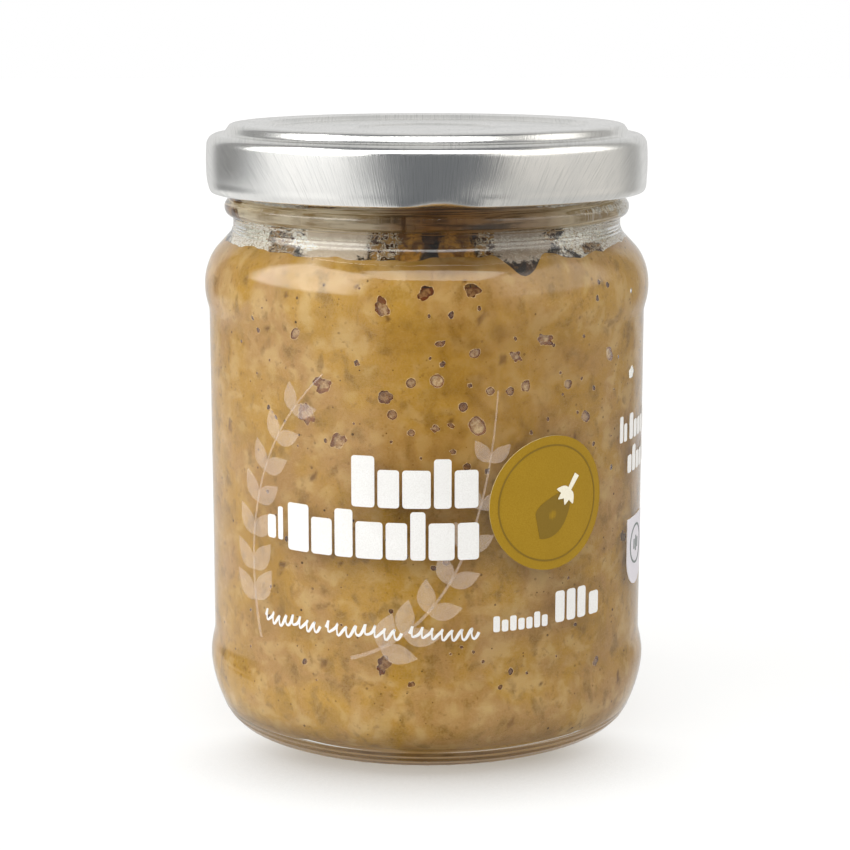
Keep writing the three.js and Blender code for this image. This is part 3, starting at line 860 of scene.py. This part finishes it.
def spread_mesh():
    wall = inside_outline(-REACH, spacing=0.75)
    lower = wall[wall[:, 1] < SPREAD_SQUEEZE_Z]
    squeezed = np.arange(SPREAD_SQUEEZE_Z + 0.3, SPREAD_Z + 0.01, SPREAD_ROW)
    edge = wall_radius(SPREAD_Z)
    upper = columns(wall_radius(squeezed), squeezed)
    shares = np.linspace(1, 0, TOP_RINGS)[1:]
    top = columns(edge * shares, 0 * shares + SPREAD_Z)
    heights = np.linspace(0, 80, 801)
    radii = wall_radius(heights)

    def shape(azimuth, radius, z):
        if z[0] < SPREAD_SQUEEZE_Z:
            return azimuth, radius, z
        level = level_at(azimuth)
        share = (z - SPREAD_SQUEEZE_Z) / (SPREAD_Z - SPREAD_SQUEEZE_Z)
        height = SPREAD_SQUEEZE_Z + share * (level - SPREAD_SQUEEZE_Z)
        if z[0] < SPREAD_Z - 0.01 or radius[0] > edge - 0.01:
            return azimuth, np.interp(height, heights, radii), height
        inwards = 1 - radius / edge
        middle = SPREAD_Z + SPREAD_CROWN + lumps_at(azimuth, radius)
        share_in = np.minimum(1, inwards * 2.2)
        return azimuth, radius, height * (1 - share_in) + middle * share_in

    return revolve(np.concatenate([lower, upper, top]), SEGMENTS, shape)


def ragged_ball(detail, ragged, seed):
    """A ball of radius 1 whose surface is pushed in and out by noise."""
    bpy.ops.mesh.primitive_ico_sphere_add(subdivisions=detail, radius=1.0)
    ball = bpy.context.object
    points = points_of(ball.data) * MM
    faces = [list(face.vertices) for face in ball.data.polygons]
    bpy.data.objects.remove(ball)
    offset = Vector((seed * 7.3, seed * 3.1, seed * 1.7))
    push = []
    for p in points:
        coarse = noise.noise(Vector(p) * 1.25 + offset)
        fine = noise.noise(Vector(p) * 2.7 + offset)
        push.append(1 + ragged * (1.1 * coarse + 0.6 * fine))
    return points * np.array(push)[:, None], faces


def all_bubbles():
    """The bubbles at the front, others like them round the rest of the jar, and many small ones."""
    bubbles = list(BUBBLES)
    draw = np.random.default_rng(3)
    for _ in range(OTHER_BUBBLES):
        width = draw.uniform(0.9, 2.4)
        tall = width * draw.uniform(0.7, 1.3)
        azimuth = 180 + draw.uniform(-115, 115)
        ragged, tone = draw.uniform(0.1, 0.55), draw.uniform(0.1, 0.9)
        z = draw.uniform(12, 69)
        if not BARE_FROM < apart(azimuth, 0) < BARE_TO:
            bubbles.append((azimuth, z, width, tall, ragged, tone))
    for _ in range(TINY_BUBBLES):
        width = draw.uniform(0.3, 0.75)
        azimuth, z = draw.uniform(-180, 180), draw.uniform(8, 70)
        if BARE_FROM < azimuth < BARE_TO:
            continue
        if min(math.hypot(apart(azimuth, b[0]) / 2, z - b[1]) for b in bubbles) > TINY_BUBBLE_ROOM:
            tall, ragged = width * draw.uniform(0.7, 1.5), draw.uniform(0.1, 0.5)
            bubbles.append((azimuth, z, width, tall, ragged, 0))
    return bubbles


def bubble_cutter(bubbles, materials):
    """All the bubbles as one mesh of steep-sided, flat-bottomed balls, sunk into the spread's side."""
    points, faces = [], []
    count = 0
    for seed, (azimuth, z, width, tall, ragged, _) in enumerate(bubbles):
        fineness = 4 if width > 1.6 and abs(azimuth) < 60 else 3 if width > LARGE_BUBBLE else 2
        ball, ball_faces = ragged_ball(fineness, ragged, seed)
        deep = depth_of(width, tall)
        radius = float(wall_radius(z))
        turn = math.radians(azimuth)
        across = np.array([math.cos(turn), math.sin(turn), 0])
        outwards = np.array([math.sin(turn), -math.cos(turn), 0])
        lean = math.sin(seed * 1.7) * 0.6
        flat_x = ball[:, 0] * math.cos(lean) * width / 2 - ball[:, 2] * math.sin(lean) * tall / 2
        flat_z = ball[:, 0] * math.sin(lean) * width / 2 + ball[:, 2] * math.cos(lean) * tall / 2
        sunk = np.sign(ball[:, 1]) * np.abs(ball[:, 1]) ** BUBBLE_POWER * deep
        local = np.outer(flat_x, across) + np.outer(sunk, outwards)
        points.append(place(azimuth, radius, z) + local + np.outer(flat_z, [0, 0, 1]))
        faces += [[i + count for i in reversed(face)] for face in ball_faces]
        count += len(ball)
    return make("bubble_cutter", np.concatenate(points), faces, materials, [1] * len(faces))


def depth_of(width, tall):
    """How deep a bubble is."""
    return (SHALLOW if width > LARGE_BUBBLE else DEEP) * min(width, tall)


def bubble_fields(points, bubbles):
    """For each point how deep it lies in its bubble, from 0 to 1, and how pale that bubble is."""
    azimuth, radius, z = polar(points)
    wall = wall_radius(z)
    depth, tones = 0 * z, 0 * z
    for centre, height, width, tall, _, tone in bubbles:
        across = np.radians(apart(azimuth, centre)) * radius
        inside = np.hypot(across, z - height) < 0.8 * max(width, tall)
        depth = np.where(inside, (wall - radius) / depth_of(width, tall), depth)
        tones = np.where(inside, tone, tones)
    return depth, tones


def carve(piece, cutter):
    """Cuts one mesh out of another and drops the cutter."""
    cut = piece.modifiers.new("cut", "BOOLEAN")
    cut.operation = "DIFFERENCE"
    cut.solver = "MANIFOLD"
    cut.object = cutter
    bpy.context.view_layer.update()
    carved = bpy.data.meshes.new_from_object(piece.evaluated_get(bpy.context.evaluated_depsgraph_get()))
    piece.modifiers.clear()
    piece.data = carved
    bpy.data.objects.remove(cutter)


def fleck_field(points):
    """Soft brown bits of vegetable that show through the glass, as a strength at each point."""
    draw = np.random.default_rng(11)
    azimuth, radius, z = polar(points)
    wobble = 0.25 * np.sin(azimuth * 1.9 + 2 * np.sin(z * 2.3)) + 0.2 * np.sin(z * 4.1 + azimuth * 0.7)
    field = 0 * z
    for _ in range(FLECKS):
        centre, height = draw.uniform(-180, 180), draw.uniform(6, 71)
        size, tall = draw.uniform(0.25, 0.70), draw.uniform(0.6, 2.0)
        lean = draw.uniform(-0.8, 0.8)
        across = np.radians(apart(azimuth, centre)) * radius
        above = z - height
        away = np.hypot(across + lean * above, above / tall) / size + wobble
        field = np.maximum(field, draw.uniform(0.3, 1.0) * np.exp(-away ** 2))
    return field


def spread():
    materials = [spread_material(), pit_material()]
    points, faces, _ = spread_mesh()
    piece = make("spread_mass", points, faces, materials, [0] * len(faces))
    bubbles = all_bubbles()
    carve(piece, bubble_cutter(bubbles, materials))
    mesh = piece.data
    smooth(mesh, 40)
    points = points_of(mesh)
    depth, tones = bubble_fields(points, bubbles)
    store(mesh, "depth", depth)
    store(mesh, "tone", tones)
    azimuth, _, z = polar(points)
    # painted shade under the neck, strongest at the front
    store(mesh, "shade", lobe(azimuth, *SHADE_SPAN) * window(z, SHADE_FROM_Z, 90, 1.6))
    wander = 5 * np.sin(z / 5) + 4 * np.sin(z / 2.3 + azimuth / 9)
    store(mesh, "ochre", lobe(azimuth + wander, *OCHRE_SPAN) * window(z, *OCHRE_HEIGHTS, 16))
    store(mesh, "fleck", fleck_field(points))
    corners = [set(), set()]
    for face in mesh.polygons:
        corners[face.material_index].update(face.vertices)
    rim = np.zeros(len(points))
    rim[list(corners[0] & corners[1])] = 1
    store(mesh, "rim", rim)
    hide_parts("eggplant_caviar")


# ---- What clings inside the neck ----

def patch(azimuth, z, centre, height, half_span, half_height):
    """1 in the middle of a soft oval on the neck's inside, and 0 well outside it."""
    away = np.abs(apart(azimuth, centre) / half_span) ** 2.6 + np.abs((z - height) / half_height) ** 2.6
    return np.exp(-0.7 * away)


def clinging():
    """The patches at the front as seen, and made-up ones of the same kinds round the sides and back."""
    patches = list(CLINGING)
    draw = np.random.default_rng(5)
    kinds = ["crinkle", "smear", "haze", "stain", "crinkle", "smear"]
    for i in range(OTHER_PATCHES):
        centre, height = 180 + draw.uniform(-98, 98), draw.uniform(72, 80.5)
        patches.append((kinds[i % len(kinds)], centre, height, draw.uniform(4, 17), draw.uniform(1, 3.2)))
    return patches


def neck_film():
    """A thin skin on the inside of the neck, with a strength of each kind of residue at each point."""
    heights = np.linspace(FILM_BOTTOM, RIM_Z - 3, FILM_ROWS)
    patches = clinging()
    outside = [(wall_radius(z) - FILM_OUTSIDE, z) for z in heights]
    inside = [(wall_radius(z) - FILM_INSIDE, z) for z in heights[::-1]]

    def shape(azimuth, radius, z):
        if radius[0] > wall_radius(z[0]) - (FILM_OUTSIDE + FILM_INSIDE) / 2:
            return azimuth, radius, z
        smeared = sum(patch(azimuth, z, *where) for kind, *where in patches if kind == "smear")
        return azimuth, radius - SMEAR_THICKNESS * np.minimum(1, smeared), z

    points, faces, _ = revolve(np.array(outside + inside), FILM_SEGMENTS, shape)
    piece = make("neck_film", points, faces, [film_material()])
    azimuth, _, z = polar(points)
    for name in ("smear", "crinkle", "haze", "stain"):
        strength = 0 * z
        for kind, *where in patches:
            if kind == name:
                strength = np.maximum(strength, patch(azimuth, z, *where))
        store(piece.data, name, strength)
    # painted shade: a dark sheet over the whole neck band
    store(piece.data, "painted_shade", 0.95 * window(z, SPREAD_Z - 5, RIM_Z - 5, 2.0))
    # painted light round the neck, darkest at the front
    store(piece.data, "pale", np.interp(azimuth, FILM_AZIMUTHS, FILM_PAINTED_LIGHT))
    store(piece.data, "bead", window(z, BEAD_Z - 1.7, RIM_Z + 9, 0.5))


# ---- Flat things on the glass ----

def tapered(path, half_widths):
    """The two edges of a strip that follows a path."""
    path = np.asarray(path, float)
    along = np.gradient(path, axis=0)
    along /= np.linalg.norm(along, axis=1)[:, None]
    left = columns(-along[:, 1], along[:, 0]) * np.asarray(half_widths)[:, None]
    return path - left, path + left


def bar(x, width, bottom, height, corner):
    """An upright bar with rounded corners."""
    xs = x + width * (0.5 - 0.5 * np.cos(np.linspace(0.03, np.pi - 0.03, 17)))
    side = np.minimum(xs - x, x + width - xs)
    cut = corner - np.sqrt(np.maximum(0, corner ** 2 - np.maximum(0, corner - side) ** 2))
    return columns(xs, bottom + cut), columns(xs, bottom + height - cut)


def disc(radius):
    xs = radius * np.cos(np.linspace(np.pi - 0.02, 0.02, 64))
    half = np.sqrt(radius ** 2 - xs ** 2)
    return columns(xs, -half), columns(xs, half)


def ring(radius, half_width, middle=(0, 0)):
    turns = np.linspace(0, 2 * np.pi, 73)
    round_it = columns(np.cos(turns), np.sin(turns))
    return round_it * (radius + half_width) + middle, round_it * (radius - half_width) + middle


def stick(name, strips, azimuth, z, inner, outer, materials):
    """Wraps flat strips round the glass as one thin solid piece."""
    points, faces, indices = [], [], []
    count = 0
    for low, high in strips:
        n = len(low)
        for radius in (outer, inner):
            for edge in (low, high):
                turned = azimuth + np.degrees(edge[:, 0] / BODY_RADIUS)
                points.append(place(turned, radius, z + edge[:, 1]))
        a, b, c, d = (count + k * n for k in range(4))  # low and high in front, low and high behind
        for i in range(n - 1):
            j = i + 1
            sides = [(a + i, a + j, b + j, b + i), (c + j, c + i, d + i, d + j),
                     (a + j, a + i, c + i, c + j), (b + i, b + j, d + j, d + i)]
            faces += sides
            indices += [0, 0, 1, 1]
        closed = np.allclose(low[0], low[-1]) and np.allclose(high[0], high[-1])
        if not closed:
            last = n - 1
            faces += [(a, b, d, c), (a + last, c + last, d + last, b + last)]
            indices += [1, 1]
        count += 4 * n
    indices = [i % len(materials) for i in indices]
    piece = make(name, np.concatenate(points), faces, materials, indices, 30)
    weld(piece.data)
    return piece


def weld(mesh):
    """Joins points that lie on each other, as at the ends of a ring."""
    bm = bmesh.new()
    bm.from_mesh(mesh)
    bmesh.ops.remove_doubles(bm, verts=bm.verts, dist=0.002 * MM)
    bm.to_mesh(mesh)
    bm.free()


def word(start, end, bottom, gap, heights, widths=None):
    """A row of upright rounded blocks between two azimuths, which stands for a printed word."""
    start, end = arc(start), arc(end)
    widths = np.array(widths or [1.0] * len(heights), float)
    widths *= (end - start - gap * (len(heights) - 1)) / widths.sum()
    blocks = []
    for width, height in zip(widths, heights):
        blocks.append(bar(start, width, bottom, height, min(BLOCK_CORNER, width * 0.3)))
        start += width + gap
    return blocks


def words(rows):
    return [block for row in rows for block in word(*row)]


def sprig(path, leaf):
    """A curved stem with pairs of pointed leaves along it."""
    t = np.linspace(0, 1, 50)[:, None]
    a, b, c = (np.array(p, float) for p in path)
    stem = (1 - t) ** 2 * a + 2 * t * (1 - t) * b + t * t * c
    strips = [tapered(stem, 0.28 * (1 - 0.6 * t[:, 0]))]
    s = np.linspace(0, 1, 26)
    for i in range(LEAF_PAIRS):
        k = int(6 + i * 41 / LEAF_PAIRS)
        along = stem[k + 1] - stem[k]
        heading = math.atan2(along[1], along[0])
        for side in (-1, 1):
            turn = heading + side * math.radians(48)
            size = leaf * (1 - 0.35 * i / LEAF_PAIRS)
            curl = 0.12 * side * size * s * s
            x = stem[k][0] + size * s * math.cos(turn) + curl * math.sin(heading)
            z = stem[k][1] + size * s * math.sin(turn) - curl * math.cos(heading)
            strips.append(tapered(columns(x, z), 0.02 + 0.24 * size * np.sin(np.pi * s ** 0.8)))
    return strips


def squiggle(start, end, waves):
    """A wavy pen stroke between two azimuths, which stands for a handwritten word."""
    start, end = arc(start), arc(end)
    t = np.linspace(0, 1, int(waves * 14))
    phase = 2 * np.pi * waves * t
    size = 0.5 + 0.22 * np.sin(2.1 * phase / waves * 3)
    x = start + (end - start) * t + 0.32 * np.sin(phase + 0.6)
    y = SCRIPT_HEIGHT * size * np.sin(phase)
    return tapered(columns(x, y), PEN * (0.75 + 0.25 * np.cos(phase)))


def arc(azimuth):
    """Distance round the glass from the front, in millimetres."""
    return math.radians(azimuth) * BODY_RADIUS


def print_on_glass():
    ink = [paper_material("white_ink", "#e6e5e2", "#dad8d4", 0.45)]
    inner, outer = BODY_RADIUS - SUNK, BODY_RADIUS + INK
    script = [squiggle(*stroke) for stroke in SCRIPT]
    sprigs = [strip for row in SPRIGS for strip in sprig(*row)]
    stick("print_title", words(TITLE), 0, 0, inner, outer, ink)
    stick("print_script", script, 0, SCRIPT_Z, inner, outer, ink)
    stick("print_weight", words(WEIGHT), 0, 0, inner, outer, ink)
    stick("print_side", words(SIDE_WORDS), 0, 0, inner, outer, ink)
    stick("print_sprigs", sprigs, 0, 0, inner, BODY_RADIUS + INK / 4, [sheer_ink()])


def sheer_ink():
    """A thin pinkish white ink that the spread shows through."""
    made, g = material("sheer_ink")
    grain = g.noise(g.where(), 0.25)
    ink = g.surface({
        "Base Color": g.mix(grain, "#e9d9cc", "#dccbbd"),
        "Roughness": 0.5,
        "Normal": g.bump(grain, 0.01, 0.3),
    })
    g.output(g.over(g.ramp(grain, 0.2, 0.8, 0.11, 0.17), g.clear(), ink))
    return made


def round_label():
    radius = ROUND_LABEL["radius"]
    azimuth, z = ROUND_LABEL["azimuth"], ROUND_LABEL["z"]
    mustard = paper_material("mustard_paper", "#9f7d1a", "#937213", 0.6)
    edge = paper_material("paper_edge", "#d9cba0", "#c8b888", 0.6)
    dark = paper_material("dark_mustard_ink", "#80651d", "#7a6019", 0.5)
    pale = paper_material("pale_ink", "#efe9d6", "#e4ddc6", 0.45)
    low, high = BODY_RADIUS - SUNK, BODY_RADIUS + PAPER
    piece = stick("round_sticker", [disc(radius)], azimuth, z, low, high, [mustard, edge])
    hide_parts("round_label")
    t = np.linspace(0, 1, 40)
    belly = columns(-2.2 + 5.2 * t, -3.4 + 4.6 * t ** 1.4)
    fruit = tapered(belly, 0.05 + 2.5 * np.sin(np.pi * np.minimum(1, 0.12 + 0.80 * t) ** 0.8) ** 0.8)
    motif = [fruit, ring(radius * 0.86, 0.12)]
    stick("sticker_motif", motif, azimuth, z, high - SUNK, high + INK, [dark])
    stalk = columns(3.0 + 1.6 * t, 1.3 + 2.3 * t)
    leaves = [tapered(stalk, 0.32 + 0.12 * t)]
    for lean in (-55, -15, 25, 65):
        turn = math.radians(225 + lean)
        leaf = columns(3.1 + 2.2 * t * math.cos(turn), 1.5 + 2.2 * t * math.sin(turn))
        leaves.append(tapered(leaf, 0.03 + 0.55 * np.sin(np.pi * t ** 0.7) ** 0.9))
    stick("sticker_leaves", leaves, azimuth, z, high + INK - SUNK, high + 2 * INK, [pale])


def side_label():
    azimuth, half = SIDE_LABEL["azimuth"], SIDE_LABEL["half_width"]
    top, bottom = SIDE_LABEL["top"], SIDE_LABEL["bottom"]
    middle = (top + bottom) / 2
    xs = half * np.cos(np.linspace(np.pi - 0.02, 0.02, 40))
    low_edge = bottom - middle + half - np.sqrt(half ** 2 - xs ** 2)
    high_edge = np.full_like(xs, top - middle)
    white = paper_material("white_paper", "#d6d2d6", "#ccc8ce", 0.55)
    edge = paper_material("white_paper_edge", "#f2f0ee", "#e4e2e0", 0.6)
    grey = paper_material("grey_ink", "#6e7672", "#7d8581", 0.5)
    low, high = BODY_RADIUS - SUNK, BODY_RADIUS + PAPER
    shape = (columns(xs, low_edge), columns(xs, high_edge))
    piece = stick("side_sticker", [shape], azimuth, middle, low, high, [white, edge])
    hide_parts("side_label")
    mark = [ring(2.9, 0.16, (0, 0.9)), bar(-1.2, 0.5, 0.1, 1.6, 0.2), bar(-0.25, 0.5, -0.3, 2.4, 0.2),
            bar(0.7, 0.5, 0.1, 1.6, 0.2)]
    stick("side_sticker_mark", mark, azimuth, middle, high - SUNK, high + INK, [grey])


# ---- The stage ----

# Soft white panels round the jar: azimuth limits, height limits in degrees, edge widths, strength, tint.
PANELS = [
    (-149, -108, -8, 60, 12, 12, 0.28, (1.0, 1.0, 1.0)),  # the dim gap on the left
    (-185, -25, -95, -9, 12, 5, 0.90, (1.0, 1.0, 1.0)),  # the white table on the left
    (25, 185, -95, -9, 12, 5, 0.62, (1.0, 0.99, 0.97)),  # and on the right
    (-99, -33, -12, 16, 38, 6, 1.06, (1.0, 1.0, 1.0)),  # white card low on the left
    (-106, -38, 16, 56, 14, 6, 4.8, (1.0, 1.0, 1.0)),  # the main soft box, high on the left
    (41, 149, -12, 60, 24, 10, 0.42, (1.0, 0.99, 0.97)),  # the faint fill on the right
    (40, 120, -12, 12, 22, 8, 0.70, (1.0, 0.97, 0.93)),  # and the warm card in it
    (40, 114, 12, 50, 22, 8, 1.90, (1.0, 0.98, 0.95)),
]
TOP_PANEL = ((-0.46, 0.62), (-1.05, -0.33), 3.6)  # sideways and front-to-back tangents, and strength
BACKDROP_FROM = 142  # the white backdrop fills what is further round than this
BACKDROP = ((0, 0.74), (60, 0.60))  # its strength at two heights
BACKDROP_EDGE = 7  # how softly it starts, in degrees
GAP_LIGHT = (0.160, 0.168, 0.180)  # what is between the panels
TOP_EDGE = 0.10  # how softly the top panel ends


def between(g, value, low, high, edge):
    """1 between two limits with soft edges, and 0 outside."""
    rise = g.ramp(value, low - edge / 2, low + edge / 2)
    fall = g.ramp(value, high + edge / 2, high - edge / 2)
    return g.times(rise, fall)


def grey(strength, tint=(1, 1, 1)):
    return tuple(strength * t for t in tint) + (1,)


def studio():
    """The light: a world of soft panels, plain white where the camera sees it."""
    world = bpy.data.worlds.new("studio")
    world.use_nodes = True
    bpy.context.scene.world = world
    g = Graph(world.node_tree)
    way = g.add("ShaderNodeSeparateXYZ", {0: g.add("ShaderNodeTexCoord").outputs["Generated"]})
    x, y, z = way.outputs
    azimuth = g.maths("DEGREES", g.maths("ARCTAN2", x, g.times(y, -1.0)))
    height = g.maths("DEGREES", g.maths("ARCSINE", z))
    half_edge = BACKDROP_EDGE / 2
    behind = g.ramp(g.maths("ABSOLUTE", azimuth), BACKDROP_FROM - half_edge, BACKDROP_FROM + half_edge)
    (low, bright), (high, dim) = BACKDROP
    backdrop = g.mix(g.ramp(height, low, high), grey(bright), grey(dim))
    light = (*GAP_LIGHT, 1)
    for left, right, low, high, side_edge, level_edge, strength, tint in PANELS:
        across = between(g, azimuth, left, right, side_edge)
        upwards = between(g, height, low, high, level_edge)
        light = g.mix(g.times(across, upwards), light, grey(strength, tint))
    light = g.mix(behind, light, backdrop)
    sideways, forwards, strength = TOP_PANEL
    up = g.maths("MAXIMUM", z, 0.01)
    across = between(g, g.maths("DIVIDE", x, up), *sideways, TOP_EDGE)
    along = between(g, g.maths("DIVIDE", y, up), *forwards, TOP_EDGE)
    light = g.mix(g.times(across, along), light, grey(strength))
    seen = g.add("ShaderNodeLightPath").outputs["Is Camera Ray"]
    background = g.add("ShaderNodeBackground", {"Color": g.mix(seen, light, grey(1))})
    g.output(background.outputs[0], "ShaderNodeOutputWorld")


def floor():
    turns = np.linspace(0, 2 * np.pi, FLOOR_SIDES + 1)[:-1]
    points = [(FLOOR_RADIUS * math.cos(t), FLOOR_RADIUS * math.sin(t), -FLOOR_DROP) for t in turns]
    mesh = bpy.data.meshes.new("floor")
    mesh.from_pydata((np.array(points) * MM).tolist(), [], [list(range(FLOOR_SIDES))])
    mesh.materials.append(floor_material())
    ground = bpy.data.objects.new("floor", mesh)
    bpy.context.scene.collection.objects.link(ground)
    ground.visible_glossy = False


def camera():
    lens = bpy.data.cameras.new("camera")
    lens.sensor_width = SENSOR_WIDTH
    lens.lens = SENSOR_WIDTH * FOCAL_PIXELS / PICTURE_WIDTH
    eye = bpy.data.objects.new("camera", lens)
    eye.location = Vector(CAMERA_PLACE) * MM
    eye.rotation_euler = (math.radians(CAMERA_TILT), 0, 0)
    bpy.context.scene.collection.objects.link(eye)
    bpy.context.scene.camera = eye


camera()
studio()
floor()
glass_jar()
lid()
spread()
neck_film()
print_on_glass()
round_label()
side_label()
bpy.context.scene.view_settings.view_transform = "Standard"
